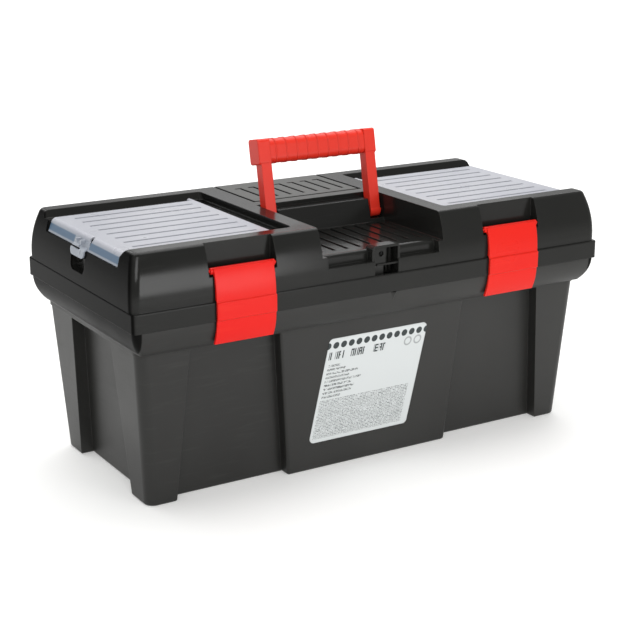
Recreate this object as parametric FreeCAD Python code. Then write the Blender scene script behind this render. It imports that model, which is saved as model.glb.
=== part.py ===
import FreeCAD, Part
import math
import os

# Carpenter toolbox with two latches, a folding carrying handle and two organizers in its lid.
# Millimetres. X runs along the length, -Y is the latch side, +Z is up.
# The origin is the middle of the bottom face.

# ---- driving sizes -------------------------------------------------------------------------
LENGTH = 525.0            # over the lid's lip
WIDTH = 245.0             # over the lid's lip, without latches and hinge knuckles
HEIGHT = 245.0            # closed, handle folded
WALL = 2.5                # moulded wall of base and lid
GAP = 0.4                 # clearance round pieces that move

# base
FOOT_HALF = (241.3, 94.9)         # half length and half width at the floor
BODY_TOP_HALF = (250.9, 104.5)    # the same under the flange
FLANGE_BOTTOM = 151.4
FLANGE_TOP = 176.0
FLANGE_HALF = (261.0, 121.0)
FLANGE_BOW = (34.0, 34.0)         # ends and sides curve in towards the lower edge with these radii
FLANGE_CORNER = 6.0
FLANGE_FOOT = 3.0                 # rounding of the lower edge
RIM_TOP = 184.0                   # upstand that keeps the lid in place
COLLAR_STEP = 0.8                 # the collar under the flange stands this far proud of the body
CORNER_RADIUS = 10.0
RECESS_DEPTH = 12.5               # wall panels lie this far behind the columns
COLUMN_X = (212.0, 199.0)         # inner edge of a corner column, at the floor and at the top
COLUMN_Y = (60.0, 45.0)
PANEL_X = (93.0, 106.0)           # half width of the raised middle panel, floor and top
SOFT_EDGE = 3.0

# lid
LIP_BOTTOM = FLANGE_TOP + 0.2
LIP_TOP = 194.0
LIP_CORNER = 4.0
LIP_EDGE = 1.0
LID_HALF = (262.0, 120.2)         # where its walls stand upright
LID_BOW = (130.0, 100.0)          # above LID_UPRIGHT_Z ends and sides curve in with these radii
LID_UPRIGHT_Z = 200.0
LID_CORNER = 8.0
LID_TOP_RADIUS = 5.5

# organizers in the lid; sizes for the left one, the right one is its mirror image
ORGANIZER_Y = -3.5                # middle of both organizers
BORDER_Y = 93.0                   # inner edges of the front and back borders
SEAT_Y = (-86.5, 88.5)            # foot of the borders' sloping inner faces
SEAT_Z = 238.0                    # the ledge that a cover rests on
SEAT_CORNER = 4.0
CHANNEL_X = (105.0, 86.0)         # hinge channel beside the centre block
CHANNEL_Z = 235.3
CHANNEL_STEP = 0.6                # narrow step round the channel
END_RECESS_X = 251.0              # a cover's folded end lies in this recess of the end wall
END_RECESS_HALF = 82.5
END_RECESS_Z = 227.6
WELL_X = (243.0, 108.0)
WELL_HALF = 77.0
WELL_Z = 200.0
WELL_WALL = 2.0
DIVIDER_THICKNESS = 1.6
DIVIDER_PITCH = 38.5
DIVIDER_TOP = 236.0
DIVIDER_SLOT = 1.0
COVER_TOP = 240.5
COVER_PLATE = 2.3
COVER_HINGE = (-101.0, 238.1)     # x and z of the left cover's axis
COVER_BARREL = 2.4
COVER_PIN = 1.6
COVER_PIN_END = 0.3               # play at the end of each pin
COVER_HALF = 80.5
COVER_GROOVES = 8
COVER_GROOVE = (2.2, 0.9)         # width and depth
COVER_GROOVE_X = (236.0, 110.0)
COVER_GROOVE_PITCH = 18.7
COVER_BEND = ((-247.5, 240.5), (-252.4, 239.1), (-254.4, 235.5))
COVER_END = (-257.6, -256.0)      # outer and inner x of the folded end's foot
COVER_END_INSIDE = (-253.0, 236.0)
CLIP_Y = -1.5                     # middle of the snap on a cover's end
CLIP_RING = (6.4, 4.4, 235.0)     # outer and inner radius, height of its middle
CLIP_TOP = 236.4
CLIP_REACH = (259.6, 254.0)
SNAP_TAB_HALF = 15.5
SNAP_TAB_FOOT = 220.6
SNAP_TAB_CORNER = 5.0
SNAP_TAB_TOP = (-256.8, 230.6)
SNAP_TAB_OUTSIDE = ((-260.8, 227.8), (-262.2, 220.6))
SNAP_TAB_INSIDE = ((-260.9, 220.6), (-259.5, 227.9), (-256.4, 228.4))
SNAP_SLIT = (-4.0, 15.5, 1.6)     # y range and height of the slit above the tab
KEYHOLE = (-18.5, 2.4, 2.8)       # y, slot width and eye radius
KEYHOLE_Z = (233.0, 238.0)
FINGER_HALF = 15.5                # finger room under the snap tab
FINGER_X = 254.8
FINGER_Z = (206.0, 220.5)
FINGER_CORNER = 6.0

# handle
HANDLE_PIVOT = (-7.3, 227.5)      # y and z
HANDLE_LEAN = 11.0                # degrees back from upright
HANDLE_PIN = 3.0
LEG_X = (54.7, 66.0)
LEG_DEPTH = 11.0
LEG_END_RADIUS = 6.0
GRIP_LOW = 58.3                   # from the pivot to the grip's underside
GRIP_HIGH = 83.6
GRIP_Y = (-6.0, 14.0)             # front and back of the grip; the legs are flush with its front
GRIP_CAP_END = 67.9
CAP_RADIUS = 3.0
CAP_EDGE = 1.2
SLEEVE_RADIUS = 7.0
GRIP_RINGS = 9
RING_PITCH = 12.0
RING = (1.4, 0.45)                # width and height of the raised rings round the grip
CORE = (10.0, 14.0)               # depth and height of the bar inside the grip
RUNNING = 0.05                    # radial clearance of a turning pin

# recess that the handle folds into
RECESS_X = 68.5
RECESS_FLOOR = 218.0
RECESS_BACK = 5.3
REAR_LEDGE = (-10.0, 240.9)
REAR_FOOT_Y = -17.0
NOSE_RADIUS = 4.0                 # the floor rolls over into the front face with this radius
NOSE_Y = -111.2
SILL_Z = 207.3
SILL_HALF = 62.8
LEG_SLOT_X = 52.5
LEG_SLOT_FRONT = -26.0
LEG_SLOT_Z = 221.0
BOSS_WALL = 3.5                   # plastic round each handle pin
BOSS_LENGTH = 6.0
HANDLE_BORE = 5.0
HANDLE_PIN_LENGTH = 4.5
FLOOR_GROOVES = (9, 14.2, 3.6)    # number, pitch and width
FLOOR_GROOVE_Y = (-98.0, -19.0)
FLOOR_GROOVE_DEPTH = 1.6

# decoration of the panel behind the recess: a grooved frame round hook-shaped grooves
REAR_FRAME_HALF = 63.6
REAR_FRAME_Y = 19.0
REAR_GROOVE = (3.2, 2.0)          # width and depth
HOOKS = (7, 15.5, 3.0)            # number, pitch and x of the middle one
HOOK_Y = (33.0, 85.5)
HOOK_TURN = 6.0

# latches
LATCH_X = 151.4
LATCH_HALF = 30.2
LATCH_BAR_HALF = 32.6
LATCH_PIVOT = (-115.6, 221.2)     # y and z
LATCH_BAR_RADIUS = 3.0
LATCH_PIN = 1.4
LATCH_PIN_END = 0.2
LATCH_FACE = -125.7               # outer face of the band over the lip
LATCH_BAND = (177.1, 193.8)
LATCH_THICKNESS = 2.6
LATCH_STEP = 1.6                  # the band stands this far proud of strap and tongue
LATCH_STRAP_OUTSIDE = ((-119.3, 223.2), (-122.8, 209.5))
LATCH_STRAP_INSIDE = ((-121.0, 196.6), (-120.7, 207.0), (-119.6, 216.2))
LATCH_TONGUE_OUTSIDE = ((-122.6, 165.0), (-118.0, 153.6))
LATCH_TONGUE_INSIDE = ((-115.8, 154.1), (-120.3, 165.4), (-122.5, 175.4))
LATCH_HEAD = ((-116.6, 218.6), (-116.4, 223.9))   # where the strap meets its round upper bar
POCKET_HALF = 34.4
POCKET_Y = -106.0
POCKET_Z = 216.6

# padlock eye in the middle of the front
EYE_X = 2.0                       # middle of the opening
EYE_HALF = 13.3
EYE_RIM = 2.6
EYE_TOP = 219.4
EYE_Y = (-118.6, -106.5)
EYE_PLATE = ((-11.3, 2.8), (-116.6, -114.4))
EYE_SHELF = ((-8.0, 15.3), (-118.2, -114.4), (202.4, 204.2))
EYE_RIB_X = (8.4, 12.2)
EYE_RIB = (1.8, 2.6)              # width and height of the ribs on the back wall
EYE_CORNER = 5.0
TAB = ((-9.0, 3.6), (-111.8, -109.2))
TAB_TOP = 218.0
TAB_HOLE = 2.6
TAB_HOLE_PLACE = (-2.4, 213.4)    # x and z
TAB_CORNER = 4.0
GUSSET_X = (4.7, 9.6, 13.9)       # pointed rib on the flange: foot, ridge, foot
GUSSET_Z = (157.3, 175.5)
GUSSET_HEIGHT = 3.0

# rear hinge
HINGE_AXIS = (121.7, 176.0)       # y and z
HINGE_X = 150.0
KNUCKLE_RADIUS = 4.0
ROD_RADIUS = 1.5
BASE_KNUCKLE_HALF = 10.0
LID_KNUCKLE_END = 25.0
KNUCKLE_GAP = 0.6

# lift-out tray
TRAY_BODY_HALF = (230.0, 83.0)
TRAY_RIM_HALF = (245.0, 99.0)
TRAY_BOTTOM = 108.0
TRAY_RIM = (151.4, 153.6)
TRAY_WALL = 2.0
TRAY_DRAFT = 3.0
TRAY_CORNER = 8.0
TRAY_RIM_CORNER = 14.0
TRAY_HANDLE = (75.0, 186.0)       # half length and top of the middle wall
TRAY_HANDLE_THICKNESS = 6.0
TRAY_HANDLE_CORNER = 12.0
TRAY_SLOT = (45.0, 160.0, 178.0)  # half length, bottom and top of the hand slot
TRAY_SLOT_CORNER = 6.0
TRAY_DIVIDER_X = 110.0
TRAY_DIVIDER_DROP = 4.0           # its top lies this far under the rim
LOOSE = 0.3                       # play of a loose divider

# label on the front panel
LABEL_CENTRE = (-4.0, 81.0)
LABEL_SIZE = (114.0, 105.0)
LABEL_SLANT = 20.0
LABEL_THICKNESS = 0.3
LABEL_CORNER = 5.0

FAR = 300.0


# ---- shape helpers -------------------------------------------------------------------------
def vec(x, y, z):
    return FreeCAD.Vector(x, y, z)


def block(x, y, z):
    """A box from three (low, high) pairs."""
    return Part.makeBox(x[1] - x[0], y[1] - y[0], z[1] - z[0], vec(x[0], y[0], z[0]))


def both(half):
    return (-half, half)


def about(middle, half):
    return (middle - half, middle + half)


def rod(radius, start, end):
    """A round bar between two points."""
    line = end - start
    return Part.makeCylinder(radius, line.Length, start, line)


def rod_x(radius, x, y, z):
    return rod(radius, vec(x[0], y, z), vec(x[1], y, z))


def rod_y(radius, x, y, z):
    return rod(radius, vec(x, y[0], z), vec(x, y[1], z))


def frustum(low, high, z_low, z_high):
    """A straight-sided block between two level rectangles ((x0, x1), (y0, y1))."""
    def corners(rect, z):
        (x0, x1), (y0, y1) = rect
        return [vec(x0, y0, z), vec(x1, y0, z), vec(x1, y1, z), vec(x0, y1, z)]

    bottom = corners(low, z_low)
    top = corners(high, z_high)
    rings = [bottom[::-1], top]
    for i in range(4):
        j = (i + 1) % 4
        rings.append([bottom[i], bottom[j], top[j], top[i]])
    faces = [Part.Face(Part.makePolygon(ring + ring[:1])) for ring in rings]
    return Part.Solid(Part.Shell(faces))


def tapered(low_half, high_half, z_low, z_high):
    """A frustum centred on the Z axis, from half sizes (x, y)."""
    low = (both(low_half[0]), both(low_half[1]))
    high = (both(high_half[0]), both(high_half[1]))
    return frustum(low, high, z_low, z_high)


def bow_outline(half, z_foot, z_upright, z_edge, radius):
    """Half widths against height of a wall pair that curves in from z_upright to z_edge."""
    def point(sign, z):
        rise = z - z_upright
        inward = radius - math.sqrt(radius ** 2 - rise ** 2)
        return (sign * (half - inward), z)

    heights = (z_upright, (z_upright + z_edge) / 2, z_edge)
    left = tuple(point(-1, z) for z in heights)
    right = tuple(point(1, z) for z in reversed(heights))
    return [(-half, z_foot), left, right, (half, z_foot)]


def bowed(half, heights, radii):
    """A block centred on the Z axis whose ends and sides curve in as in bow_outline."""
    ends = along_y(bow_outline(half[0], *heights, radii[0]), both(FAR))
    sides = along_x(bow_outline(half[1], *heights, radii[1]), both(FAR))
    return ends.common(sides)


def shrink(half, inset):
    """Both half sizes, or both radii, less the inset."""
    return (half[0] - inset, half[1] - inset)


def upright(edge):
    ends = edge.Vertexes
    return abs(ends[1].Z - ends[0].Z) > 0.8 * edge.Length


def level_at(z):
    return lambda edge: all(abs(v.Z - z) < 0.01 for v in edge.Vertexes)


def soften(shape, radius, chosen):
    """Rounds the edges for which chosen(edge) is true."""
    return shape.makeFillet(radius, [e for e in shape.Edges if chosen(e)])


def profile_face(points, to_vector):
    """A flat face. A triple of points inside the list is an arc's start, middle and end."""
    edges = []
    flat = []
    for item in points:
        if isinstance(item[0], tuple):
            flat.append(item)
        else:
            flat.append((item,))
    for i, item in enumerate(flat):
        if len(item) == 3:
            edges.append(Part.Arc(*[to_vector(*p) for p in item]).toShape())
        start = item[-1]
        end = flat[(i + 1) % len(flat)][0]
        if start != end:
            edges.append(Part.makeLine(to_vector(*start), to_vector(*end)))
    return Part.Face(Part.Wire(edges))


def along_x(points, x, grow=0.0):
    """A (y, z) outline, grown outwards if asked, run from x[0] to x[1]."""
    face = profile_face(points, lambda y, z: vec(x[0], y, z))
    if grow:
        face = face.makeOffset2D(grow, 2)
    return face.extrude(vec(x[1] - x[0], 0, 0))


def along_y(points, y):
    """An (x, z) outline run from y[0] to y[1]."""
    face = profile_face(points, lambda x, z: vec(x, y[0], z))
    return face.extrude(vec(0, y[1] - y[0], 0))


def mirror_x(shape):
    return shape.mirror(vec(0, 0, 0), vec(1, 0, 0))


def with_mirror(shape):
    return shape.fuse(mirror_x(shape))


def turn_x(shape, y, z, degrees):
    turned = shape.copy()
    turned.rotate(vec(0, y, z), vec(1, 0, 0), degrees)
    return turned


# ---- base ----------------------------------------------------------------------------------
def base_body(inset):
    """The drafted tub below the flange: core, four corner columns and the middle panel."""
    z_low = inset
    z_high = FLANGE_BOTTOM
    share = z_low / z_high

    def at_floor(low, high):
        return low + (high - low) * share

    foot = [at_floor(FOOT_HALF[i], BODY_TOP_HALF[i]) - inset for i in (0, 1)]
    top = shrink(BODY_TOP_HALF, inset)
    edge = max(SOFT_EDGE - inset, 0.5)
    core = tapered(shrink(foot, RECESS_DEPTH), shrink(top, RECESS_DEPTH), z_low, z_high)
    body = soften(core, edge, level_at(z_low))

    panel = tapered((at_floor(*PANEL_X) - inset, foot[1]), (PANEL_X[1] - inset, top[1]), z_low, z_high)
    body = body.fuse(soften(panel, edge, lambda e: upright(e) or level_at(z_low)(e)))

    column_low = [at_floor(*COLUMN_X) + inset, at_floor(*COLUMN_Y) + inset]
    column_high = [COLUMN_X[1] + inset, COLUMN_Y[1] + inset]
    for sx in (-1, 1):
        for sy in (-1, 1):
            low = (span(sx, column_low[0], foot[0]), span(sy, column_low[1], foot[1]))
            high = (span(sx, column_high[0], top[0]), span(sy, column_high[1], top[1]))
            column = frustum(low, high, z_low, z_high)
            column = soften(column, CORNER_RADIUS - inset, corner_edge(sx, sy, foot))
            column = soften(column, edge, level_at(z_low))
            body = body.fuse(column)
    return body.removeSplitter()


def span(sign, near, far):
    """(low, high) of a stretch on one side of the middle."""
    return tuple(sorted((sign * near, sign * far)))


def corner_edge(sx, sy, foot):
    """Chooses the outermost upright edge of the column in the (sx, sy) corner."""
    def chosen(edge):
        if not upright(edge):
            return False
        v = min(edge.Vertexes, key=lambda p: p.Z)
        return abs(v.X - sx * foot[0]) < 0.1 and abs(v.Y - sy * foot[1]) < 0.1

    return chosen


def base_collar(inset):
    """The plain box between the wall panels' tops and the rim."""
    half = shrink(BODY_TOP_HALF, inset - COLLAR_STEP)
    low = FLANGE_BOTTOM - WALL + inset
    collar = tapered(half, half, low, RIM_TOP)
    return soften(collar, CORNER_RADIUS - inset, upright)


def flange():
    """The bowed skirt round the top, with a gutter between it and the rim."""
    outer = bowed(FLANGE_HALF, (FLANGE_TOP, FLANGE_TOP, FLANGE_BOTTOM), FLANGE_BOW)
    outer = soften(outer, FLANGE_CORNER, upright)
    outer = soften(outer, FLANGE_FOOT, level_at(FLANGE_BOTTOM))
    heights = (FLANGE_TOP + 1, FLANGE_TOP, FLANGE_BOTTOM + WALL)
    gutter = bowed(shrink(FLANGE_HALF, WALL), heights, shrink(FLANGE_BOW, WALL))
    return outer.cut(soften(gutter, FLANGE_CORNER - WALL, upright)).fuse(gusset())


def gusset():
    """A small pointed rib under the lip, near the middle of the front."""
    z_tip, z_top = GUSSET_Z
    face_y = -FLANGE_HALF[1]
    foot_y = face_y + WALL / 2
    near, ridge, far = GUSSET_X
    top = [vec(near, foot_y, z_top), vec(ridge, face_y - GUSSET_HEIGHT, z_top), vec(far, foot_y, z_top)]
    radius = FLANGE_BOW[1]
    bowed_in = radius - math.sqrt(radius ** 2 - (FLANGE_TOP - z_tip) ** 2)
    tip = vec(ridge, face_y + bowed_in + WALL / 4, z_tip)
    rings = [top[::-1]] + [[top[i - 1], top[i], tip] for i in range(3)]
    faces = [Part.Face(Part.makePolygon(ring + ring[:1])) for ring in rings]
    return Part.Solid(Part.Shell(faces))


def padlock_hole(y):
    x, z = TAB_HOLE_PLACE
    return rod_y(TAB_HOLE, x, (y[0] - 1, y[1] + 1), z)


def padlock_tab():
    """The base's half of the padlock eye, standing in the gutter."""
    x, y = TAB
    tab = block(x, y, (FLANGE_BOTTOM + WALL / 2, TAB_TOP))
    tab = soften(tab, TAB_CORNER, lambda e: level_at(TAB_TOP)(e) and e.Length < TAB_CORNER)
    return tab.cut(padlock_hole(y))


def knuckle_cuts(x_spans):
    cut = None
    for x in x_spans:
        piece = rod_x(KNUCKLE_RADIUS + KNUCKLE_GAP, x, *HINGE_AXIS)
        cut = piece if cut is None else cut.fuse(piece)
    return cut


def base_knuckle():
    x = (HINGE_X - BASE_KNUCKLE_HALF, HINGE_X + BASE_KNUCKLE_HALF)
    y, z = HINGE_AXIS
    barrel = rod_x(KNUCKLE_RADIUS, x, y, z)
    web = block(x, (BODY_TOP_HALF[1], y), (z - KNUCKLE_RADIUS, z - KNUCKLE_RADIUS / 4))
    return barrel.fuse(web)


def lid_knuckle_spans(end_gap=0.0):
    near = BASE_KNUCKLE_HALF + GAP - end_gap
    far = LID_KNUCKLE_END + end_gap
    return [(HINGE_X - far, HINGE_X - near), (HINGE_X + near, HINGE_X + far)]


def base_shell():
    shell = base_body(0).fuse(base_collar(0)).fuse(flange())
    hollow = base_body(WALL).fuse(base_collar(WALL))
    half = shrink(BODY_TOP_HALF, 2 * CORNER_RADIUS)
    hollow = hollow.fuse(block(both(half[0]), both(half[1]), (FLANGE_TOP, RIM_TOP + 1)))
    shell = shell.fuse(with_mirror(base_knuckle()))
    shell = shell.cut(with_mirror(knuckle_cuts(lid_knuckle_spans(GAP))))
    shell = shell.fuse(padlock_tab())
    bore = rod_x(ROD_RADIUS, (HINGE_X - LID_KNUCKLE_END, HINGE_X + LID_KNUCKLE_END), *HINGE_AXIS)
    return shell.cut(hollow).cut(with_mirror(bore)).removeSplitter()


def hinge_rod():
    return rod_x(ROD_RADIUS, (HINGE_X - LID_KNUCKLE_END, HINGE_X + LID_KNUCKLE_END), *HINGE_AXIS)


# ---- lid -----------------------------------------------------------------------------------
def lid_outside(inset):
    """The barrel-shaped cap above the lip."""
    half = shrink(LID_HALF, inset)
    z_edge = HEIGHT - inset
    cap = bowed(half, (LIP_TOP - inset, LID_UPRIGHT_Z, z_edge), shrink(LID_BOW, inset))
    cap = soften(cap, LID_CORNER - inset, upright)
    return soften(cap, LID_TOP_RADIUS - inset, level_at(z_edge))


def lip():
    half = (LENGTH / 2, WIDTH / 2)
    band = soften(tapered(half, half, LIP_BOTTOM, LIP_TOP), LIP_CORNER, upright)
    return soften(band, LIP_EDGE, level_at(LIP_TOP))


def lip_room():
    half = shrink((LENGTH / 2, WIDTH / 2), WALL)
    room = tapered(half, half, LIP_BOTTOM - 1, LIP_TOP - WALL)
    return soften(room, LIP_CORNER - WALL, upright)


def recess_outline():
    """The handle recess seen from the end, as (y, z) points, front to back to front."""
    above = HEIGHT + 4 * WALL
    return [
        (-FAR, above),
        (RECESS_BACK, above),
        (RECESS_BACK, REAR_LEDGE[1]),
        REAR_LEDGE,
        (REAR_FOOT_Y, RECESS_FLOOR),
        (-FAR, RECESS_FLOOR),
    ]


def sill_outline(grow):
    """The step in front of the recess floor, which rolls over into it."""
    y, z = (NOSE_Y + NOSE_RADIUS, RECESS_FLOOR - NOSE_RADIUS)
    radius = NOSE_RADIUS - grow
    slant = radius * math.sqrt(0.5)
    nose = ((y - radius, z), (y - slant, z + slant), (y, z + radius))
    above = RECESS_FLOOR + WALL
    return [(-FAR, SILL_Z - grow), (y - radius, SILL_Z - grow), nose, (y, above), (-FAR, above)]


def recess(grow=0.0):
    """The space in the middle of the lid, with a slot for each handle leg."""
    space = along_x(recess_outline(), both(RECESS_X + grow), grow)
    sill = along_x(sill_outline(grow), both(SILL_HALF + grow))
    slot = block(
        (LEG_SLOT_X - grow, RECESS_X + grow),
        (LEG_SLOT_FRONT, RECESS_BACK + grow),
        (LEG_SLOT_Z - grow, HEIGHT + 1),
    )
    return space.fuse(sill).fuse(with_mirror(slot))


def cover_seats(grow=0.0):
    """Room for both covers between sloping borders, and the channels for their hinges."""
    channel_far, channel_near = CHANNEL_X
    z_low = SEAT_Z - grow
    z_high = HEIGHT + WALL
    steepness = (z_high - z_low) / (HEIGHT - SEAT_Z)
    front, back = SEAT_Y
    low_y = (front - grow, back + grow)
    high_y = (low_y[0] - (BORDER_Y + front) * steepness, low_y[1] + (BORDER_Y - back) * steepness)
    x = (-FAR, -channel_near + grow)
    seat = frustum((x, low_y), (x, high_y), z_low, z_high)
    channel_x = (-channel_far - grow, -channel_near - CHANNEL_STEP + grow)
    channel_y = (low_y[0] + CHANNEL_STEP, low_y[1] - CHANNEL_STEP)
    channel = block(channel_x, channel_y, (CHANNEL_Z - grow, SEAT_Z + 1))
    if not grow:
        def inner_corner(edge):
            near_side = edge.CenterOfMass.x > -channel_near - 2 * CHANNEL_STEP
            return near_side and not level_at(edge.Vertexes[0].Z)(edge)

        seat = soften(seat, SEAT_CORNER, inner_corner)
        channel = soften(channel, SEAT_CORNER, inner_corner)
    return with_mirror(seat.fuse(channel))


def end_recesses(grow=0.0):
    """Where the covers' folded ends and snap tabs lie, with finger room below them."""
    folded = block(
        (-FAR, -END_RECESS_X + grow),
        about(ORGANIZER_Y, END_RECESS_HALF + grow),
        (END_RECESS_Z - grow, HEIGHT),
    )
    y = (CLIP_Y - FINGER_HALF - grow, CLIP_Y + FINGER_HALF + grow)
    finger = block((-FAR, -FINGER_X + grow), y, (FINGER_Z[0] - grow, FINGER_Z[1] + grow))
    if not grow:
        finger = soften(
            finger,
            FINGER_CORNER,
            lambda e: level_at(FINGER_Z[0])(e) and abs(e.CenterOfMass.y - CLIP_Y) > FINGER_HALF - 1,
        )
    return with_mirror(folded.fuse(finger))


def wells(grow=0.0):
    far, near = WELL_X
    well = block((-far - grow, -near + grow), about(ORGANIZER_Y, WELL_HALF + grow), (WELL_Z - grow, SEAT_Z))
    if not grow:
        well = soften(well, SOFT_EDGE, upright)
    return with_mirror(well)


def divider_places():
    return groove_row(3, DIVIDER_PITCH, ORGANIZER_Y)


def divider_slots():
    far, near = WELL_X
    cut = None
    for y in divider_places():
        slot = block(
            (-far - DIVIDER_SLOT, -near + DIVIDER_SLOT),
            (y - DIVIDER_THICKNESS / 2, y + DIVIDER_THICKNESS / 2),
            (WELL_Z, SEAT_Z + 1),
        )
        cut = slot if cut is None else cut.fuse(slot)
    return with_mirror(cut)


def latch_pockets(grow=0.0):
    x = (LATCH_X - POCKET_HALF - grow, LATCH_X + POCKET_HALF + grow)
    return with_mirror(block(x, (-FAR, POCKET_Y + grow), (POCKET_Z - grow, HEIGHT + 1)))


def latch_pin_bores():
    reach = POCKET_HALF + WALL - 2 * LATCH_PIN_END
    y, z = LATCH_PIVOT
    return with_mirror(rod_x(LATCH_PIN + RUNNING, (LATCH_X - reach, LATCH_X + reach), y, z))


def eye_rim():
    """The arch round the padlock opening."""
    half = EYE_HALF + EYE_RIM
    top = EYE_TOP + EYE_RIM
    arch = block(about(EYE_X, half), EYE_Y, (SILL_Z - WALL, top))

    def upper_corner(edge):
        return abs(edge.CenterOfMass.x - EYE_X) > half - 0.1 and level_at(top)(edge)

    return soften(arch, EYE_CORNER, upper_corner)


def eye_opening(grow=0.0):
    z_low = LIP_TOP - grow
    opening = block(about(EYE_X, EYE_HALF + grow), (-FAR, EYE_Y[1] + grow), (z_low, EYE_TOP + grow))
    if grow:
        return opening
    shaft = block(about(EYE_X, EYE_HALF), (-LID_HALF[1] + WALL, EYE_Y[1]), (LIP_BOTTOM - 1, EYE_TOP))
    return opening.fuse(shaft)


def eye_fittings():
    """The lid's half of the padlock eye: a plate with a hole, a shelf and two ribs."""
    plate_x, plate_y = EYE_PLATE
    shelf_x, shelf_y, shelf_z = EYE_SHELF
    plate = block((plate_x[0] - WALL / 2, plate_x[1]), plate_y, (shelf_z[0], EYE_TOP + EYE_RIM / 2))
    fittings = plate.cut(padlock_hole(plate_y))
    fittings = fittings.fuse(block((shelf_x[0], EYE_X + EYE_HALF + EYE_RIM / 2), shelf_y, shelf_z))
    width, height = EYE_RIB
    back = EYE_Y[1]
    for x in EYE_RIB_X:
        rib = block(about(x, width / 2), (back - height, back + WALL / 2), (LIP_TOP, EYE_TOP + WALL / 2))
        fittings = fittings.fuse(rib)
    return fittings


def groove_row(count, pitch, middle):
    """Evenly spaced positions about a middle."""
    return [middle + (i - (count - 1) / 2) * pitch for i in range(count)]


def rear_panel_grooves():
    """The outline of the rear panel and its hooked grooves."""
    width, depth = REAR_GROOVE
    z = (HEIGHT - depth, HEIGHT + 1)
    frame = block(both(REAR_FRAME_HALF), (REAR_FRAME_Y, FAR), z)
    cut = frame.cut(block(both(REAR_FRAME_HALF - width), (REAR_FRAME_Y + width, FAR), z))
    for x in groove_row(*HOOKS):
        stroke = block((x - width / 2, x + width / 2), HOOK_Y, z)
        hook = block((x - HOOK_TURN, x), (HOOK_Y[1] - width, HOOK_Y[1]), z)
        cut = cut.fuse(stroke).fuse(hook)
    return cut


def floor_grooves():
    """Drain grooves in the recess floor."""
    count, pitch, width = FLOOR_GROOVES
    z = (RECESS_FLOOR - FLOOR_GROOVE_DEPTH, RECESS_FLOOR + 1)
    cut = None
    for x in groove_row(count, pitch, 0.0):
        groove = block((x - width / 2, x + width / 2), FLOOR_GROOVE_Y, z)
        cut = groove if cut is None else cut.fuse(groove)
    return cut


def handle_bosses():
    y, z = HANDLE_PIVOT
    return with_mirror(rod_x(HANDLE_PIN + BOSS_WALL, (RECESS_X, RECESS_X + BOSS_LENGTH), y, z))


def handle_bores():
    y, z = HANDLE_PIVOT
    return with_mirror(rod_x(HANDLE_PIN + RUNNING, (RECESS_X - 1, RECESS_X + HANDLE_BORE), y, z))


def cover_axle(reach):
    """The y range of a cover's barrel or pins, reaching past the seat's ends."""
    return (SEAT_Y[0] - reach, SEAT_Y[1] + reach)


def cover_bores():
    x, z = COVER_HINGE
    return with_mirror(rod_y(COVER_PIN + RUNNING, x, cover_axle(WALL - COVER_PIN_END), z))


def lid_knuckles():
    y, z = HINGE_AXIS
    lip_inside = WIDTH / 2 - WALL
    shape = None
    for x in lid_knuckle_spans():
        barrel = rod_x(KNUCKLE_RADIUS, x, y, z)
        web = block(x, (lip_inside, y + KNUCKLE_RADIUS), (z, z + 2 * KNUCKLE_RADIUS))
        piece = barrel.fuse(web)
        shape = piece if shape is None else shape.fuse(piece)
    return with_mirror(shape)


def lid_shell():
    shell = lid_outside(0).fuse(lip())
    for space in (recess(), cover_seats(), latch_pockets(), end_recesses()):
        shell = shell.cut(space)
    shell = shell.fuse(eye_rim())
    hollow = lid_outside(WALL).fuse(lip_room())
    kept = (
        recess(WALL),
        cover_seats(WALL),
        wells(WELL_WALL),
        latch_pockets(WALL),
        eye_opening(WALL),
        end_recesses(WALL),
        handle_bosses(),
    )
    for keep in kept:
        hollow = hollow.cut(keep)
    shell = shell.cut(hollow)
    shell = shell.fuse(lid_knuckles())
    base_knuckle_room = (HINGE_X - BASE_KNUCKLE_HALF - GAP, HINGE_X + BASE_KNUCKLE_HALF + GAP)
    bore_span = (HINGE_X - LID_KNUCKLE_END, HINGE_X + LID_KNUCKLE_END)
    cuts = (
        wells(),
        divider_slots(),
        eye_opening(),
        latch_pin_bores(),
        handle_bores(),
        cover_bores(),
        rear_panel_grooves(),
        floor_grooves(),
        with_mirror(knuckle_cuts([base_knuckle_room])),
        with_mirror(rod_x(ROD_RADIUS + RUNNING, bore_span, *HINGE_AXIS)),
    )
    for cut in cuts:
        shell = shell.cut(cut)
    return shell.fuse(eye_fittings())


# ---- organizers ----------------------------------------------------------------------------
def cover_outline():
    """The left cover's section, as (x, z) points, from its hinge to its folded-down end."""
    under = COVER_TOP - COVER_PLATE
    foot = END_RECESS_Z + GAP
    return [
        (COVER_HINGE[0], COVER_TOP),
        COVER_BEND,
        (COVER_END[0], foot),
        (COVER_END[1], foot),
        COVER_END_INSIDE,
        (-END_RECESS_X - GAP, under),
        (COVER_HINGE[0], under),
    ]


def snap_tab():
    """Hangs from the folded end, outside the lid's end wall, under a slit."""
    outline = [SNAP_TAB_TOP, *SNAP_TAB_OUTSIDE, *SNAP_TAB_INSIDE]
    tab = along_y(outline, about(CLIP_Y, SNAP_TAB_HALF))

    def lower_corner(edge):
        return abs(edge.CenterOfMass.y - CLIP_Y) > SNAP_TAB_HALF - 0.1 and level_at(SNAP_TAB_FOOT)(edge)

    room = block((-FAR, -FAR / 2), about(CLIP_Y, SNAP_TAB_HALF), (SNAP_TAB_FOOT, SNAP_TAB_TOP[1]))
    return tab.common(soften(room, SNAP_TAB_CORNER, lower_corner))


def snap_slit():
    y_low, y_high, height = SNAP_SLIT
    z = END_RECESS_Z + GAP
    x = (-FAR, -END_RECESS_X - 1)
    return block(x, (CLIP_Y + y_low, CLIP_Y + y_high), about(z, height / 2))


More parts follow.
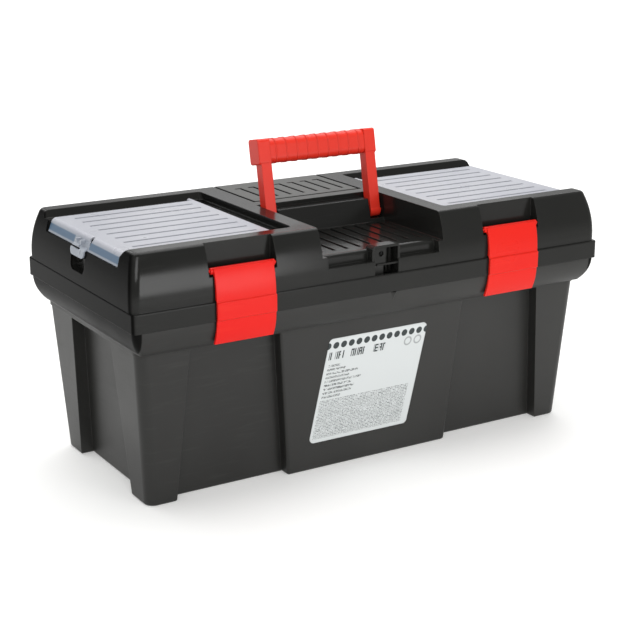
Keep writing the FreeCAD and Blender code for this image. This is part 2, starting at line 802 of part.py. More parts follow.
def clip_ring():
    """An open ring standing on the folded end, flattened at the top."""
    outer, inner, z = CLIP_RING
    x = (-CLIP_REACH[0], -CLIP_REACH[1])
    ring = rod_x(outer, x, CLIP_Y, z).cut(rod_x(inner, x, CLIP_Y, z))
    mouth = block(x, (CLIP_Y - outer, CLIP_Y), (z - outer, z - inner / 2))
    above = block(x, about(CLIP_Y, outer), (CLIP_TOP, HEIGHT))
    return ring.cut(mouth).cut(above)


def keyhole():
    y, width, eye = KEYHOLE
    z_low, z_high = KEYHOLE_Z
    x = (-FAR, -END_RECESS_X + 1)
    return block(x, (y - width / 2, y + width / 2), (z_low, z_high)).fuse(rod_x(eye, x, y, z_high))


def organizer_cover():
    """The left cover: ribbed plate, folded end with its snap, and the hinge barrel."""
    x, z = COVER_HINGE
    cover = along_y(cover_outline(), about(ORGANIZER_Y, COVER_HALF))
    cover = cover.fuse(rod_y(COVER_BARREL, x, cover_axle(-CHANNEL_STEP - GAP), z))
    cover = cover.fuse(rod_y(COVER_PIN, x, cover_axle(WALL - 3 * COVER_PIN_END), z))
    width, depth = COVER_GROOVE
    far, near = COVER_GROOVE_X
    for y in groove_row(COVER_GROOVES, COVER_GROOVE_PITCH, ORGANIZER_Y):
        cover = cover.cut(block((-far, -near), (y - width / 2, y + width / 2), (COVER_TOP - depth, HEIGHT)))
    cover = cover.fuse(snap_tab()).fuse(clip_ring())
    return cover.cut(keyhole()).cut(snap_slit()).removeSplitter()


def divider(y):
    far, near = WELL_X
    return block(
        (-far - DIVIDER_SLOT, -near + DIVIDER_SLOT),
        (y - DIVIDER_THICKNESS / 2, y + DIVIDER_THICKNESS / 2),
        (WELL_Z, DIVIDER_TOP),
    )


# ---- handle, built upright over its pivot and then leant back ------------------------------
def lean(shape):
    y, z = HANDLE_PIVOT
    moved = shape.copy()
    moved.translate(vec(0, y, z))
    return turn_x(moved, y, z, -HANDLE_LEAN)


def grip_section(x, inset, radius):
    """The grip's rounded section, between two x values."""
    y = (GRIP_Y[0] + inset, GRIP_Y[1] - inset)
    bar = block(x, y, (GRIP_LOW + inset, GRIP_HIGH - inset))
    along = [e for e in bar.Edges if abs(e.Vertexes[1].X - e.Vertexes[0].X) > 0.9 * (x[1] - x[0])]
    return bar.makeFillet(radius, along)


def grip_core(x):
    depth, height = CORE
    y = sum(GRIP_Y) / 2
    z = (GRIP_LOW + GRIP_HIGH) / 2
    return block(x, (y - depth / 2, y + depth / 2), (z - height / 2, z + height / 2))


def handle_frame():
    """Legs, end caps, the bar inside the grip and the two pins that turn in the lid."""
    half = LEG_DEPTH / 2
    leg = block(LEG_X, both(half), (0, GRIP_LOW + LEG_DEPTH))
    end = rod_x(LEG_END_RADIUS, LEG_X, 0, 0)
    cap = grip_section((LEG_X[0], GRIP_CAP_END), 0.0, CAP_RADIUS)
    cap = soften(cap, CAP_EDGE, lambda e: abs(e.CenterOfMass.x - GRIP_CAP_END) < 0.1)
    pin = rod_x(HANDLE_PIN, (LEG_X[1] - 1, RECESS_X + HANDLE_PIN_LENGTH), 0, 0)
    side = leg.fuse(end).fuse(cap).fuse(pin)
    frame = with_mirror(side).fuse(grip_core(both(LEG_X[0])))
    return lean(frame.removeSplitter())


def handle_grip():
    """The sleeve over the bar, with a row of raised rings."""
    end = LEG_X[0]
    ring_width, ring_depth = RING
    sleeve = grip_section(both(end), ring_depth, SLEEVE_RADIUS)
    for x in groove_row(GRIP_RINGS, RING_PITCH, 0.0):
        ring = grip_section((x - ring_width / 2, x + ring_width / 2), 0.0, SLEEVE_RADIUS)
        sleeve = sleeve.fuse(ring)
    return lean(sleeve.cut(grip_core(both(FAR))))


# ---- latches -------------------------------------------------------------------------------
def latch_outline():
    """The latch from the side, as (y, z) points: strap, band over the lip, tongue."""
    low, high = LATCH_BAND
    inner = LATCH_FACE + LATCH_THICKNESS
    stepped = LATCH_FACE + LATCH_STEP
    chamfer = LATCH_STEP / 4
    return [
        (*LATCH_STRAP_OUTSIDE, (stepped, high + chamfer)),
        (LATCH_FACE, high - chamfer),
        (LATCH_FACE, low + chamfer),
        ((stepped, low - chamfer), *LATCH_TONGUE_OUTSIDE),
        LATCH_TONGUE_INSIDE,
        (inner, low),
        (inner, high),
        LATCH_STRAP_INSIDE,
        LATCH_HEAD[0],
        LATCH_PIVOT,
        LATCH_HEAD[1],
    ]


def front_latch(x):
    y, z = LATCH_PIVOT
    strap = along_x(latch_outline(), (x - LATCH_HALF, x + LATCH_HALF))
    bar = rod_x(LATCH_BAR_RADIUS, (x - LATCH_BAR_HALF, x + LATCH_BAR_HALF), y, z)
    reach = POCKET_HALF + WALL - 3 * LATCH_PIN_END
    pins = rod_x(LATCH_PIN, (x - reach, x + reach), y, z)
    return strap.fuse(bar).fuse(pins).removeSplitter()


# ---- tray ----------------------------------------------------------------------------------
def tool_tray():
    """A lift-out tray hung by its rim on the ledges in the base, with a handle in the middle."""
    floor_half = shrink(TRAY_BODY_HALF, TRAY_DRAFT)
    body = tapered(floor_half, TRAY_BODY_HALF, TRAY_BOTTOM, TRAY_RIM[1])
    body = soften(body, TRAY_CORNER, upright)
    rim = soften(tapered(TRAY_RIM_HALF, TRAY_RIM_HALF, *TRAY_RIM), TRAY_RIM_CORNER, upright)
    room_low = TRAY_BOTTOM + TRAY_WALL
    low_half = shrink(floor_half, TRAY_WALL)
    high_half = shrink(TRAY_BODY_HALF, TRAY_WALL)
    room = tapered(low_half, high_half, room_low, TRAY_RIM[1] + 1)
    room = soften(room, TRAY_CORNER - TRAY_WALL, upright)
    tray = body.fuse(rim).cut(room)
    wall = block(both(TRAY_BODY_HALF[0]), both(TRAY_WALL / 2), (room_low, TRAY_RIM[1]))
    tray = tray.fuse(wall.common(body)).fuse(tray_handle(room_low))
    return tray.cut(tray_hand_slot()).removeSplitter()


def tray_handle(z_foot):
    """The thicker middle of the tray's long wall, rising above the rim."""
    length, top = TRAY_HANDLE
    handle = block(both(length), both(TRAY_HANDLE_THICKNESS / 2), (z_foot, top))

    def upper_corner(edge):
        return abs(edge.CenterOfMass.x) > length - 0.1 and level_at(top)(edge)

    return soften(handle, TRAY_HANDLE_CORNER, upper_corner)


def tray_hand_slot():
    half, low, high = TRAY_SLOT
    slot = block(both(half), both(TRAY_HANDLE_THICKNESS), (low, high))
    through = [e for e in slot.Edges if abs(e.Vertexes[1].Y - e.Vertexes[0].Y) > TRAY_HANDLE_THICKNESS]
    return slot.makeFillet(TRAY_SLOT_CORNER, through)


def tray_divider(x):
    """A loose wall between the tray's middle wall and its front wall."""
    room_low = TRAY_BOTTOM + TRAY_WALL
    half = TRAY_WALL / 2
    front = -(TRAY_BODY_HALF[1] - TRAY_DRAFT - TRAY_WALL - LOOSE)
    return block((x - half, x + half), (front, -half - LOOSE), (room_low, TRAY_RIM[1] - TRAY_DIVIDER_DROP))


# ---- label ---------------------------------------------------------------------------------
def product_label():
    """A blank slanted label on the raised middle panel, tilted with the panel's draft."""
    (cx, cz), (w, h) = LABEL_CENTRE, LABEL_SIZE
    shift = LABEL_SLANT / 2
    corners = [
        (cx - w / 2 - shift, cz - h / 2),
        (cx + w / 2 - shift, cz - h / 2),
        (cx + w / 2 + shift, cz + h / 2),
        (cx - w / 2 + shift, cz + h / 2),
    ]
    face = profile_face(corners, lambda x, z: vec(x, 0, z))
    plate = face.extrude(vec(0, -LABEL_THICKNESS, 0))
    upright_edges = [e for e in plate.Edges if abs(e.Vertexes[1].Y - e.Vertexes[0].Y) > 0.1]
    plate = plate.makeFillet(LABEL_CORNER, upright_edges)
    rise = BODY_TOP_HALF[1] - FOOT_HALF[1]
    tilt = math.degrees(math.atan2(rise, FLANGE_BOTTOM))
    plate = turn_x(plate, 0, 0, tilt)
    plate.translate(vec(0, -FOOT_HALF[1], 0))
    return plate


# ---- output --------------------------------------------------------------------------------
def all_pieces():
    pieces = {
        "base_shell": base_shell(),
        "lid_shell": lid_shell(),
        "handle_frame": handle_frame(),
        "handle_grip": handle_grip(),
        "tool_tray": tool_tray(),
        "product_label": product_label(),
        "tray_divider_left": tray_divider(-TRAY_DIVIDER_X),
        "tray_divider_right": tray_divider(TRAY_DIVIDER_X),
        "front_latch_left": front_latch(-LATCH_X),
        "front_latch_right": front_latch(LATCH_X),
        "organizer_cover_left": organizer_cover(),
        "organizer_cover_right": mirror_x(organizer_cover()),
        "hinge_rod_left": mirror_x(hinge_rod()),
        "hinge_rod_right": hinge_rod(),
    }
    for number, y in enumerate(divider_places(), 1):
        pieces[f"organizer_divider_left_{number}"] = divider(y)
        pieces[f"organizer_divider_right_{number}"] = mirror_x(divider(y))
    return pieces


def write_parts():
    os.makedirs("parts", exist_ok=True)
    for node, shape in all_pieces().items():
        solids = len(shape.Solids)
        print(f"{node:28s} valid {shape.isValid()} solids {solids} volume {shape.Volume / 1000:8.1f} cm3")
        shape.exportStep(f"parts/{node}.step")


write_parts()
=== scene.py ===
"""Looks of a carpenter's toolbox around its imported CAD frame. Metres, +X right, -Y front, +Z up."""

import math

import bpy
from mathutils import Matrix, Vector


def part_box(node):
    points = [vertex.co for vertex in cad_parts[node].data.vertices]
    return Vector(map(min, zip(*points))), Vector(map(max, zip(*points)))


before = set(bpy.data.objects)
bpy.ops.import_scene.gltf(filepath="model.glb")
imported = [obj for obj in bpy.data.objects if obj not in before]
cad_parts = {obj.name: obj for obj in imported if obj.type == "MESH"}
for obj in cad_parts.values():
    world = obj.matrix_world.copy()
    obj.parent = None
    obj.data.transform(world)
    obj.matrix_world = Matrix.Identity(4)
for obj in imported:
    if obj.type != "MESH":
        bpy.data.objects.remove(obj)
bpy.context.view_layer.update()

# ---------------------------------------------------------------- camera and studio
CAMERA_PLACE = Vector((-0.7653, -1.2424, 0.5577))
CAMERA_YAW = math.radians(31.49)
CAMERA_PITCH = math.radians(16.58)
CAMERA_LENS = 84.86
SENSOR = 36.0
FLOOR_REACH = 14.0
FLOOR_ROUGHNESS = 0.9
FLOOR_GLOW = 0.30                  # a table lit from below, which softens the shadow
ROOM_LIGHT = 0.50
WHITE = (1, 1, 1, 1)
SOFTBOXES = (                      # name, place, aim, size, watts
    ("top_light", (0.1, 0.5, 1.9), (0, 0, 0.1), (2.4, 1.8), 34),
    ("front_light", (-1.1, -2.1, 1.5), (0, 0, 0.1), (1.2, 1.2), 25),
    ("floor_wash", (1.6, 3.4, 2.4), (2.2, 4.2, 0), (5.0, 3.0), 150),
    ("low_card", (0.24, -1.15, 0.28), (-0.2, 0, 0.2), (0.45, 0.40), 3.4),
    ("rear_card", (0.95, 1.5, 0.85), (0, 0, 0.24), (0.9, 0.4), 0.7),
)

# ---------------------------------------------------------------- colours, linear light
BASE_BLACK = (0.0120, 0.0118, 0.0108)
# each plastic's lighter second colour serves rubbed wear and painted highlight along its edges
BASE_WEAR_AND_HIGHLIGHT = (0.040, 0.040, 0.037)
LID_BLACK = (0.0095, 0.0096, 0.0088)
LID_WEAR_AND_HIGHLIGHT = (0.020, 0.020, 0.018)
# painted shade: the end walls' colour, darker than the plastic, stands in for the dim light at the ends
END_PAINTED_SHADE = (0.0030, 0.0030, 0.0028)
# the matt rear panel's lighter grey is painted sheen of the top light
MATT_PANEL_SHEEN = (0.066, 0.067, 0.063)
RED = (0.64, 0.008, 0.006)
# the latches' red made lighter and warmer: painted sheen of the top light on the handle
HANDLE_RED_SHEEN = (0.68, 0.028, 0.014)
RED_WEAR_AND_HIGHLIGHT = (0.72, 0.040, 0.020)
TRAY_GREY = (0.035, 0.036, 0.038)
TRAY_WEAR_AND_HIGHLIGHT = (0.08, 0.08, 0.08)
MILKY = (0.47, 0.475, 0.51)
MILKY_DEEP = (0.41, 0.42, 0.47)
# painted shade along the covers' grooves
MILKY_GROOVE_SHADE = (0.28, 0.29, 0.33)
# painted shade on the covers' sides below the top
MILKY_RIM_SHADE = (0.33, 0.36, 0.41)
MILKY_EDGE = (0.10, 0.16, 0.24)
PAPER = (0.55, 0.575, 0.575)
INK = (0.012, 0.020, 0.021)
STEEL = (0.55, 0.55, 0.56)
FLOOR = (0.80, 0.80, 0.79)

# ---------------------------------------------------------------- moulded plastic
CLOUD_SPAN = (0.3, 0.7)            # the values of a cloudy noise that are stretched to its full range
PATCH_SCALE = 9
PATCH_ROUGHNESS = 0.05
FLOW_SCALE = 5
FLOW_STRETCH = (1, 1, 0.35)
FLOW_SPAN = (0.4, 0.7)
RUB_SCALE = 26
RUB_STRETCH = (1, 1, 9)
RUB_SPAN = (0.56, 0.78)
RUB_SHARE = 0.30
RUB_ROUGHNESS = 0.06
EDGE_SOFTNESS = 0.0011
EDGE_BEND = (0.80, 0.97)           # cosine of the bend where an edge's wear and painted highlight is full and where it starts
EDGE_SAMPLES = 4
EDGE_PATCH_SCALE = 34
EDGE_PATCH_SPAN = (0.35, 0.65)
EDGE_WEAR_AND_HIGHLIGHT = (0.25, 1.0)             # least and most wear and painted highlight along an edge
COARSE_GRAIN_SCALE = 700
COARSE_GRAIN_SHARE = 0.5
FINE_GRAIN_SCALE = 2600
GRAIN_DEPTH = 0.0003

# ---------------------------------------------------------------- dull panel with painted sheen, and painted shade at the ends
PANEL_HALF = 0.0635                # the matt panel behind the handle recess
PANEL_FRONT = 0.0055
PANEL_DEPTH = 0.0005
PANEL_ROUGHNESS = 0.2              # added to the lid's own
END_SHINE = 0.12                   # share of the sheen left on the end walls, where shade is painted
LID_UPRIGHT_Z = 0.200              # the lid's end walls curve in above this height
LID_END_BOW = 0.130
LID_END = 0.262
LID_END_FADE = (0.0022, 0.0006)    # how far inside LID_END the painted shade begins and is full
FLANGE_END = 0.2530
FLANGE_END_FADE = 0.001
FLANGE_LOW_Z = 0.1505

# ---------------------------------------------------------------- milky covers
MILKY_CLOUD_SCALE = 14
MILKY_CLEARNESS = 0.12
MILKY_IOR = 1.49
MILKY_ROUGHNESS = (0.26, 0.38)
MILKY_SHEEN_SCALE = 30
MILKY_GRAIN = (1500, 0.06, 0.0002)     # scale, strength, depth
COVER_MIDDLE = -0.0035             # the grooves are spread about this y
GROOVE_PITCH = 0.0187
GROOVE_SPAN = (0.173, 0.063)       # middle and half length of a groove
GROOVE_EDGE = (0.05, 0.22)         # pitches from a groove's middle where it fades and where it has gone
GROOVE_SHADE_SHARE = 0.8
RIM_DROP = (0.0050, 0.0015)        # below the cover's top, where the rim's painted shade is full and starts
FOLD_TOP = (0.0050, 0.0040)        # the same for the upper side of the folded panel
FOLD_FOOT = (0.0112, 0.0102)       # below the cover's top, where the folded panel has gone and starts to go
CLIP_MIDDLE = -0.0015
CLIP_REACH = (0.0165, 0.0185)      # how far the light area round the snap reaches, with its fade

# ---------------------------------------------------------------- label print, from the label's top left
LABEL_SLANT = 0.020
LABEL_WIDTH = 0.114
DOTS = 13                          # spaces between the printed dots along the top edge
DOT_RADIUS = 0.0033
DOT_DROP = 0.0072
TITLE_DROP = 0.0175
TITLE_REACH = 0.0038
TITLE_WORDS = ((3, 9), (10, 16), (18, 23), (28, 34), (35, 43), (54, 60), (61, 67))    # in millimetres
LETTER = 0.0046                    # pitch of the title's letter shapes
STEM = 0.30                        # the first stem's width, in letters
SECOND_STEM = (0.70, 0.15)         # middle and half width
SECOND_STEM_RARITY = 0.35
BARS = ((-0.8, 0.25), (0.0, 0.5), (0.8, 0.6))      # height, and the share of letters without the bar
BAR_REACH = 0.2
BAR_LENGTH = 0.85
BAR_DRAWS = 7                      # spreads a letter's chance into another one for its bars
LINE_LENGTHS = (14, 21, 36, 27, 41, 31, 35, 33, 21)    # in millimetres
LINE_LEFT = 0.004
LINE_TOP = 0.0275
LINE_PITCH = 0.0039
LINE_REACH = 0.0011
LINE_SPECKS = (900, 1, 0.42, 0.55)     # noise scale and detail, and where the ink starts and is full
FINE_SIDES = (0.003, 0.106)
FINE_ROWS = (0.062, 0.101)         # first and last row, from the top
FINE_PITCH = 0.0016
FINE_ROW_SHARE = 0.62
FINE_SPECKS = (1100, 2, 0.42, 0.58)
ICONS = (0.094, 0.1055)
ICON_DROP = 0.0165
ICON_RADIUS = 0.0046
ICON_HOLE = 0.0030
ICON_INK = 0.45
TEXT_INK = 0.80
PAPER_ROUGHNESS = (0.36, 0.46)
PAPER_SHEEN_SCALE = 40
PAPER_GRAIN = (500, 0.05, 0.0002)

# ---------------------------------------------------------------- hinge rods
WIRE_ROUGHNESS = (0.22, 0.42)
WIRE_SHEEN_SCALE = 60
WIRE_STRETCH = (1, 12, 12)
WIRE_MARKS = (900, 0.1, 0.0002)
WIRE_MARKS_STRETCH = (0.1, 1, 1)

MILLIMETRE = 1 / 1000
MIX_FIRST = 6                      # the mix node's colour sockets, whose names its other sockets share
MIX_SECOND = 7
MIX_RESULT = 2


class Shader:
    """A new node material with short calls for the nodes that the materials below use."""

    def __init__(self, name):
        self.material = bpy.data.materials.new(name)
        self.material.use_nodes = True
        self.tree = self.material.node_tree
        self.surface = self.tree.nodes["Principled BSDF"]
        self.place = self.node("ShaderNodeTexCoord").outputs["Object"]

    def node(self, kind, **settings):
        made = self.tree.nodes.new(kind)
        for name, value in settings.items():
            setattr(made, name, value)
        return made

    def put(self, value, socket):
        if isinstance(value, bpy.types.NodeSocket):
            self.tree.links.new(value, socket)
        else:
            socket.default_value = value

    def math(self, operation, *values):
        made = self.node("ShaderNodeMath", operation=operation)
        for value, socket in zip(values, made.inputs):
            self.put(value, socket)
        return made.outputs[0]

    def product(self, first, *others):
        for other in others:
            first = self.math("MULTIPLY", first, other)
        return first

    def join(self, first, *others):
        """The area covered by any of the given masks."""
        for other in others:
            first = self.math("MAXIMUM", first, other)
        return first

    def absolute(self, value):
        return self.math("ABSOLUTE", value)

    def axis(self, name):
        made = self.node("ShaderNodeSeparateXYZ")
        self.put(self.place, made.inputs[0])
        return made.outputs[name]

    def noise(self, scale, detail=2.0, stretch=(1, 1, 1)):
        mapping = self.node("ShaderNodeMapping")
        mapping.inputs["Scale"].default_value = stretch
        self.put(self.place, mapping.inputs["Vector"])
        made = self.node("ShaderNodeTexNoise")
        self.put(mapping.outputs[0], made.inputs["Vector"])
        made.inputs["Scale"].default_value = scale
        made.inputs["Detail"].default_value = detail
        return made.outputs["Fac"]

    def between(self, value, low, high, to_low=0.0, to_high=1.0):
        made = self.node("ShaderNodeMapRange")
        limits = {"From Min": low, "From Max": high, "To Min": to_low, "To Max": to_high}
        for name, number in limits.items():
            made.inputs[name].default_value = number
        self.put(value, made.inputs["Value"])
        return made.outputs[0]

    def clouds(self, scale, detail, to_low=0.0, to_high=1.0, stretch=(1, 1, 1)):
        """Soft patches that range from to_low to to_high."""
        return self.between(self.noise(scale, detail, stretch), *CLOUD_SPAN, to_low, to_high)

    def specks(self, scale, detail, low, high):
        return self.between(self.noise(scale, detail), low, high)

    def mix(self, share, first, second):
        made = self.node("ShaderNodeMix", data_type="RGBA")
        self.put(share, made.inputs["Factor"])
        for value, place in ((first, MIX_FIRST), (second, MIX_SECOND)):
            self.put((*value, 1.0) if isinstance(value, tuple) else value, made.inputs[place])
        return made.outputs[MIX_RESULT]

    def soft_normal(self):
        """The surface's normal with its edges softened by EDGE_SOFTNESS."""
        made = self.node("ShaderNodeBevel", samples=EDGE_SAMPLES)
        made.inputs["Radius"].default_value = EDGE_SOFTNESS
        return made.outputs[0]

    def edges(self):
        """About 1 on the rounded edges and 0 on flat faces."""
        flat = self.node("ShaderNodeNewGeometry").outputs["Normal"]
        made = self.node("ShaderNodeVectorMath", operation="DOT_PRODUCT")
        self.put(self.soft_normal(), made.inputs[0])
        self.put(flat, made.inputs[1])
        return self.between(made.outputs["Value"], *EDGE_BEND, 1.0, 0.0)

    def bump(self, height, strength, depth, soft=True):
        """Grain, over softened edges if asked."""
        made = self.node("ShaderNodeBump")
        if soft:
            self.put(self.soft_normal(), made.inputs["Normal"])
        made.inputs["Strength"].default_value = strength
        made.inputs["Distance"].default_value = depth
        self.put(height, made.inputs["Height"])
        self.put(made.outputs[0], self.surface.inputs["Normal"])

    def set(self, **values):
        for name, value in values.items():
            socket = self.surface.inputs[name.replace("_", " ")]
            self.put((*value, 1.0) if isinstance(value, tuple) else value, socket)


# ---------------------------------------------------------------- plastics
def wear_and_edge_highlight_tone(s, rubs, colour, wear_and_highlight):
    """The plastic's colour with flow marks, rubbed patches, and edges lightened by wear and painted
    highlight.
    """
    flow = s.between(s.noise(FLOW_SCALE, 3, FLOW_STRETCH), *FLOW_SPAN)
    tone = s.mix(s.product(s.join(rubs, flow), RUB_SHARE), colour, wear_and_highlight)
    # edges: lighter colour for wear and painted highlight
    patches = s.between(s.noise(EDGE_PATCH_SCALE, 3), *EDGE_PATCH_SPAN, *EDGE_WEAR_AND_HIGHLIGHT)
    return s.mix(s.product(s.edges(), patches), tone, wear_and_highlight)


def moulded_plastic(name, colour, wear_and_highlight, roughness, grain=0.10, shine=0.5, matt=None, dark=None):
    """Moulded plastic with fine grain. matt and dark are functions that mark its dull panel, whose grey is
    partly painted sheen, and its ends, where shade is painted.
    """
    s = Shader(name)
    rubs = s.between(s.noise(RUB_SCALE, 4, RUB_STRETCH), *RUB_SPAN)
    tone = wear_and_edge_highlight_tone(s, rubs, colour, wear_and_highlight)
    patches = s.clouds(PATCH_SCALE, 3, roughness - PATCH_ROUGHNESS, roughness + PATCH_ROUGHNESS)
    rough = s.math("ADD", patches, s.product(rubs, RUB_ROUGHNESS))
    if matt:
        # the matt panel: rougher, and its lighter grey is painted sheen
        dull = matt(s)
        tone = s.mix(dull, tone, MATT_PANEL_SHEEN)
        rough = s.math("ADD", rough, s.product(dull, PANEL_ROUGHNESS))
    # painted shade: the marked ends get a darker colour and less sheen
    if dark:
        area = dark(s)
        tone = s.mix(area, tone, END_PAINTED_SHADE)
        shine = s.between(area, 0.0, 1.0, shine, shine * END_SHINE)
    s.set(Base_Color=tone, Roughness=rough, Specular_IOR_Level=shine)
    coarse = s.product(s.noise(COARSE_GRAIN_SCALE, 1), COARSE_GRAIN_SHARE)
    s.bump(s.math("ADD", s.noise(FINE_GRAIN_SCALE, 2), coarse), grain, GRAIN_DEPTH)
    return s.material


def lid_end_shade(s):
    """1 on the lid's curved end walls, where shade is painted."""
    rise = s.math("MAXIMUM", s.math("SUBTRACT", s.axis("Z"), LID_UPRIGHT_Z), 0.0)
    bow = s.math("DIVIDE", s.product(rise, rise), 2 * LID_END_BOW)
    reach = s.math("ADD", s.absolute(s.axis("X")), bow)
    begins, full = LID_END_FADE
    return s.between(reach, LID_END - begins, LID_END - full)


def flange_end_shade(s):
    """1 on the ends of the base's flange, where shade is painted."""
    outside = s.between(s.absolute(s.axis("X")), FLANGE_END, FLANGE_END + FLANGE_END_FADE)
    return s.product(outside, s.math("GREATER_THAN", s.axis("Z"), FLANGE_LOW_Z))


def rear_panel(s):
    """1 on the lid's textured panel behind the handle; its rougher texture is real, its lighter grey is
    painted sheen.
    """
    across = s.math("LESS_THAN", s.absolute(s.axis("X")), PANEL_HALF)
    behind = s.math("GREATER_THAN", s.axis("Y"), PANEL_FRONT)
    above = s.math("GREATER_THAN", s.axis("Z"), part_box("lid_shell")[1][2] - PANEL_DEPTH)
    return s.product(across, behind, above)


def groove_shade(s):
    """Painted shade: a soft-edged 1 on the covers' grooves, which run along X."""
    steps = s.math("DIVIDE", s.math("SUBTRACT", s.axis("Y"), COVER_MIDDLE), GROOVE_PITCH)
    from_groove = s.absolute(s.math("SUBTRACT", s.math("FRACT", steps), 0.5))
    along = s.math("COMPARE", s.absolute(s.axis("X")), *GROOVE_SPAN)
    return s.product(s.between(from_groove, *GROOVE_EDGE, GROOVE_SHADE_SHARE, 0.0), along)


def folded_panel(s, top):
    """1 on the covers' folded end, apart from the light area round the snap."""
    below = s.between(s.axis("Z"), top - FOLD_TOP[0], top - FOLD_TOP[1], 1.0, 0.0)
    above = s.between(s.axis("Z"), top - FOLD_FOOT[0], top - FOLD_FOOT[1])
    beside = s.between(s.absolute(s.math("SUBTRACT", s.axis("Y"), CLIP_MIDDLE)), *CLIP_REACH)
    return s.product(below, above, beside)


def milky_plastic():
    """Thin translucent plastic, bluish at its folded end as if the dark lid showed through."""
    s = Shader("milky_polypropylene")
    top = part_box("organizer_cover_left")[1][2]
    tone = s.mix(s.clouds(MILKY_CLOUD_SCALE, 3), MILKY, MILKY_DEEP)
    # painted shade along the grooves
    tone = s.mix(groove_shade(s), tone, MILKY_GROOVE_SHADE)
    # painted shade on the covers' sides
    full, starts = RIM_DROP
    tone = s.mix(s.between(s.axis("Z"), top - full, top - starts, 1.0, 0.0), tone, MILKY_RIM_SHADE)
    tone = s.mix(folded_panel(s, top), tone, MILKY_EDGE)
    s.set(Base_Color=tone, Transmission_Weight=MILKY_CLEARNESS, IOR=MILKY_IOR)
    s.set(Roughness=s.clouds(MILKY_SHEEN_SCALE, 2, *MILKY_ROUGHNESS))
    scale, strength, depth = MILKY_GRAIN
    s.bump(s.noise(scale, 2), strength, depth, soft=False)
    return s.material


# ---------------------------------------------------------------- label and steel
class LabelShader(Shader):
    """Printed film, with places given across the label and down from its top edge."""

    def __init__(self):
        super().__init__("label_paper")
        low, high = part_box("product_label")
        height = high[2] - low[2]
        left = (low[0] + high[0]) / 2 - LABEL_WIDTH / 2
        self.down = self.math("SUBTRACT", high[2], self.axis("Z"))
        above_middle = self.math("SUBTRACT", height / 2, self.down)
        slant = self.product(above_middle, LABEL_SLANT / height)
        self.across = self.math("SUBTRACT", self.math("SUBTRACT", self.axis("X"), slant), left)

    def box(self, left, right, centre, reach):
        beside = self.math("COMPARE", self.across, (left + right) / 2, (right - left) / 2)
        return self.product(beside, self.math("COMPARE", self.down, centre, reach))

    def spot(self, along, centre_down, radius):
        """A disc; along is the distance from its middle, across the label."""
        fall = self.math("SUBTRACT", self.down, centre_down)
        squares = self.math("ADD", self.product(along, along), self.product(fall, fall))
        return self.math("LESS_THAN", self.math("SQRT", squares), radius)

    def dots(self):
        pitch = LABEL_WIDTH / DOTS
        steps = self.math("ADD", self.math("DIVIDE", self.across, pitch), 0.5)
        off_centre = self.math("SUBTRACT", self.math("FRACT", steps), 0.5)
        return self.spot(self.product(off_centre, pitch), DOT_DROP, DOT_RADIUS)

    def letters(self):
        """Letter-like strokes that spell nothing: one or two stems and up to three bars in each cell."""
        cell = self.math("DIVIDE", self.across, LETTER)
        inside = self.math("FRACT", cell)
        draw = self.node("ShaderNodeTexWhiteNoise", noise_dimensions="1D")
        self.put(self.math("FLOOR", cell), draw.inputs["W"])
        chance = draw.outputs["Value"]
        doubled = self.math("GREATER_THAN", chance, SECOND_STEM_RARITY)
        second = self.product(self.math("COMPARE", inside, *SECOND_STEM), doubled)
        strokes = self.join(self.math("LESS_THAN", inside, STEM), second)
        fall = self.math("DIVIDE", self.math("SUBTRACT", self.down, TITLE_DROP), TITLE_REACH)
        bar_chance = self.math("FRACT", self.product(chance, BAR_DRAWS))
        for height, rarity in BARS:
            bar = self.math("COMPARE", fall, height, BAR_REACH)
            present = self.math("GREATER_THAN", bar_chance, rarity)
            short = self.math("LESS_THAN", inside, BAR_LENGTH)
            strokes = self.join(strokes, self.product(bar, present, short))
        return strokes

    def title(self):
        words = (
            self.box(start * MILLIMETRE, end * MILLIMETRE, TITLE_DROP, TITLE_REACH)
            for start, end in TITLE_WORDS
        )
        return self.product(self.join(*words), self.letters())

    def lines(self):
        rows = (
            self.box(LINE_LEFT, LINE_LEFT + length * MILLIMETRE, LINE_TOP + i * LINE_PITCH, LINE_REACH)
            for i, length in enumerate(LINE_LENGTHS)
        )
        return self.product(self.join(*rows), self.specks(*LINE_SPECKS))

    def fine_print(self):
        top, bottom = FINE_ROWS
        block = self.box(*FINE_SIDES, (top + bottom) / 2, (bottom - top) / 2)
        rows = self.math("DIVIDE", self.math("SUBTRACT", self.down, top), FINE_PITCH)
        row = self.math("LESS_THAN", self.math("FRACT", rows), FINE_ROW_SHARE)
        return self.product(block, row, self.specks(*FINE_SPECKS))

    def icons(self):
        """Two plain rings."""
        places = [self.math("SUBTRACT", self.across, x) for x in ICONS]
        discs = self.join(*(self.spot(place, ICON_DROP, ICON_RADIUS) for place in places))
        holes = self.join(*(self.spot(place, ICON_DROP, ICON_HOLE) for place in places))
        return self.math("SUBTRACT", discs, holes)


def label_paper():
    """Printed film: a row of dots, a greeked title, short lines, fine print and two plain icons."""
    s = LabelShader()
    colour = s.mix(s.product(s.icons(), ICON_INK), PAPER, INK)
    colour = s.mix(s.product(s.lines(), TEXT_INK), colour, INK)
    colour = s.mix(s.product(s.fine_print(), TEXT_INK), colour, INK)
    colour = s.mix(s.join(s.dots(), s.title()), colour, INK)
    s.set(Base_Color=colour, Roughness=s.clouds(PAPER_SHEEN_SCALE, 2, *PAPER_ROUGHNESS))
    scale, strength, depth = PAPER_GRAIN
    s.bump(s.noise(scale, 2), strength, depth)
    return s.material


def steel_wire():
    s = Shader("zinc_plated_steel")
    s.set(Base_Color=STEEL, Metallic=1.0)
    s.set(Roughness=s.clouds(WIRE_SHEEN_SCALE, 3, *WIRE_ROUGHNESS, stretch=WIRE_STRETCH))
    scale, strength, depth = WIRE_MARKS
    s.bump(s.noise(scale, 2, WIRE_MARKS_STRETCH), strength, depth)
    return s.material


# ---------------------------------------------------------------- scene
def dress(material, *names):
    for name in names:
        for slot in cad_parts[name].material_slots:
            slot.material = material


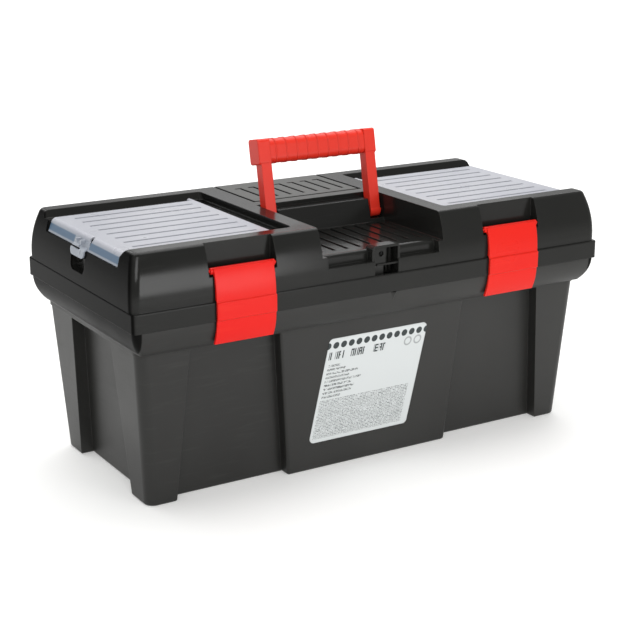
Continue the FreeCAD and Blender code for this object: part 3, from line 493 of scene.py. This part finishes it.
def finish_cad_nodes():
    base = moulded_plastic(
        "base_polypropylene", BASE_BLACK, BASE_WEAR_AND_HIGHLIGHT,
        roughness=0.40, grain=0.16, shine=0.35, dark=flange_end_shade,
    )
    lid = moulded_plastic(
        "lid_polypropylene", LID_BLACK, LID_WEAR_AND_HIGHLIGHT,
        roughness=0.17, grain=0.05, shine=0.20, matt=rear_panel, dark=lid_end_shade,
    )
    red = moulded_plastic("red_polypropylene", RED, RED_WEAR_AND_HIGHLIGHT, roughness=0.30, grain=0.08, shine=0.16)
    # the handle's red carries painted sheen
    handle_sheen_red = moulded_plastic(
        "red_handle_painted_sheen", HANDLE_RED_SHEEN, RED_WEAR_AND_HIGHLIGHT,
        roughness=0.34, grain=0.10, shine=0.30,
    )
    tray = moulded_plastic("tray_polypropylene", TRAY_GREY, TRAY_WEAR_AND_HIGHLIGHT, roughness=0.40)
    dividers = [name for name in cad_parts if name.startswith(("tray_divider", "organizer_divider"))]
    dress(base, "base_shell")
    dress(lid, "lid_shell")
    dress(red, "front_latch_left", "front_latch_right")
    dress(handle_sheen_red, "handle_frame", "handle_grip")
    dress(tray, "tool_tray", *dividers)
    dress(milky_plastic(), "organizer_cover_left", "organizer_cover_right")
    dress(label_paper(), "product_label")
    dress(steel_wire(), "hinge_rod_left", "hinge_rod_right")


def floor():
    mesh = bpy.data.meshes.new("floor")
    signs = ((-1, -1), (1, -1), (1, 1), (-1, 1))
    corners = [(FLOOR_REACH * x, FLOOR_REACH * y, 0) for x, y in signs]
    mesh.from_pydata(corners, [], [(0, 1, 2, 3)])
    made = bpy.data.objects.new("floor", mesh)
    bpy.context.scene.collection.objects.link(made)
    s = Shader("floor_paper")
    s.set(Base_Color=FLOOR, Roughness=FLOOR_ROUGHNESS)
    s.set(Emission_Color=FLOOR, Emission_Strength=FLOOR_GLOW)
    mesh.materials.append(s.material)


def room():
    world = bpy.data.worlds.new("soft_room")
    world.use_nodes = True
    background = world.node_tree.nodes["Background"]
    background.inputs["Color"].default_value = WHITE
    background.inputs["Strength"].default_value = ROOM_LIGHT
    bpy.context.scene.world = world
    bpy.context.scene.view_settings.view_transform = "Standard"


def softbox(name, place, aim, size, watts):
    light = bpy.data.lights.new(name, "AREA")
    light.shape = "RECTANGLE"
    light.size, light.size_y = size
    light.energy = watts
    holder = bpy.data.objects.new(name, light)
    holder.location = place
    holder.rotation_euler = (Vector(aim) - Vector(place)).to_track_quat("-Z", "Y").to_euler()
    bpy.context.scene.collection.objects.link(holder)


def camera():
    data = bpy.data.cameras.new("camera")
    data.lens = CAMERA_LENS
    data.sensor_width = SENSOR
    holder = bpy.data.objects.new("camera", data)
    holder.location = CAMERA_PLACE
    level = math.cos(CAMERA_PITCH)
    ahead = Vector((math.sin(CAMERA_YAW) * level, math.cos(CAMERA_YAW) * level, -math.sin(CAMERA_PITCH)))
    holder.rotation_euler = ahead.to_track_quat("-Z", "Y").to_euler()
    bpy.context.scene.collection.objects.link(holder)
    bpy.context.scene.camera = holder


finish_cad_nodes()
floor()
room()
for box in SOFTBOXES:
    softbox(*box)
camera()
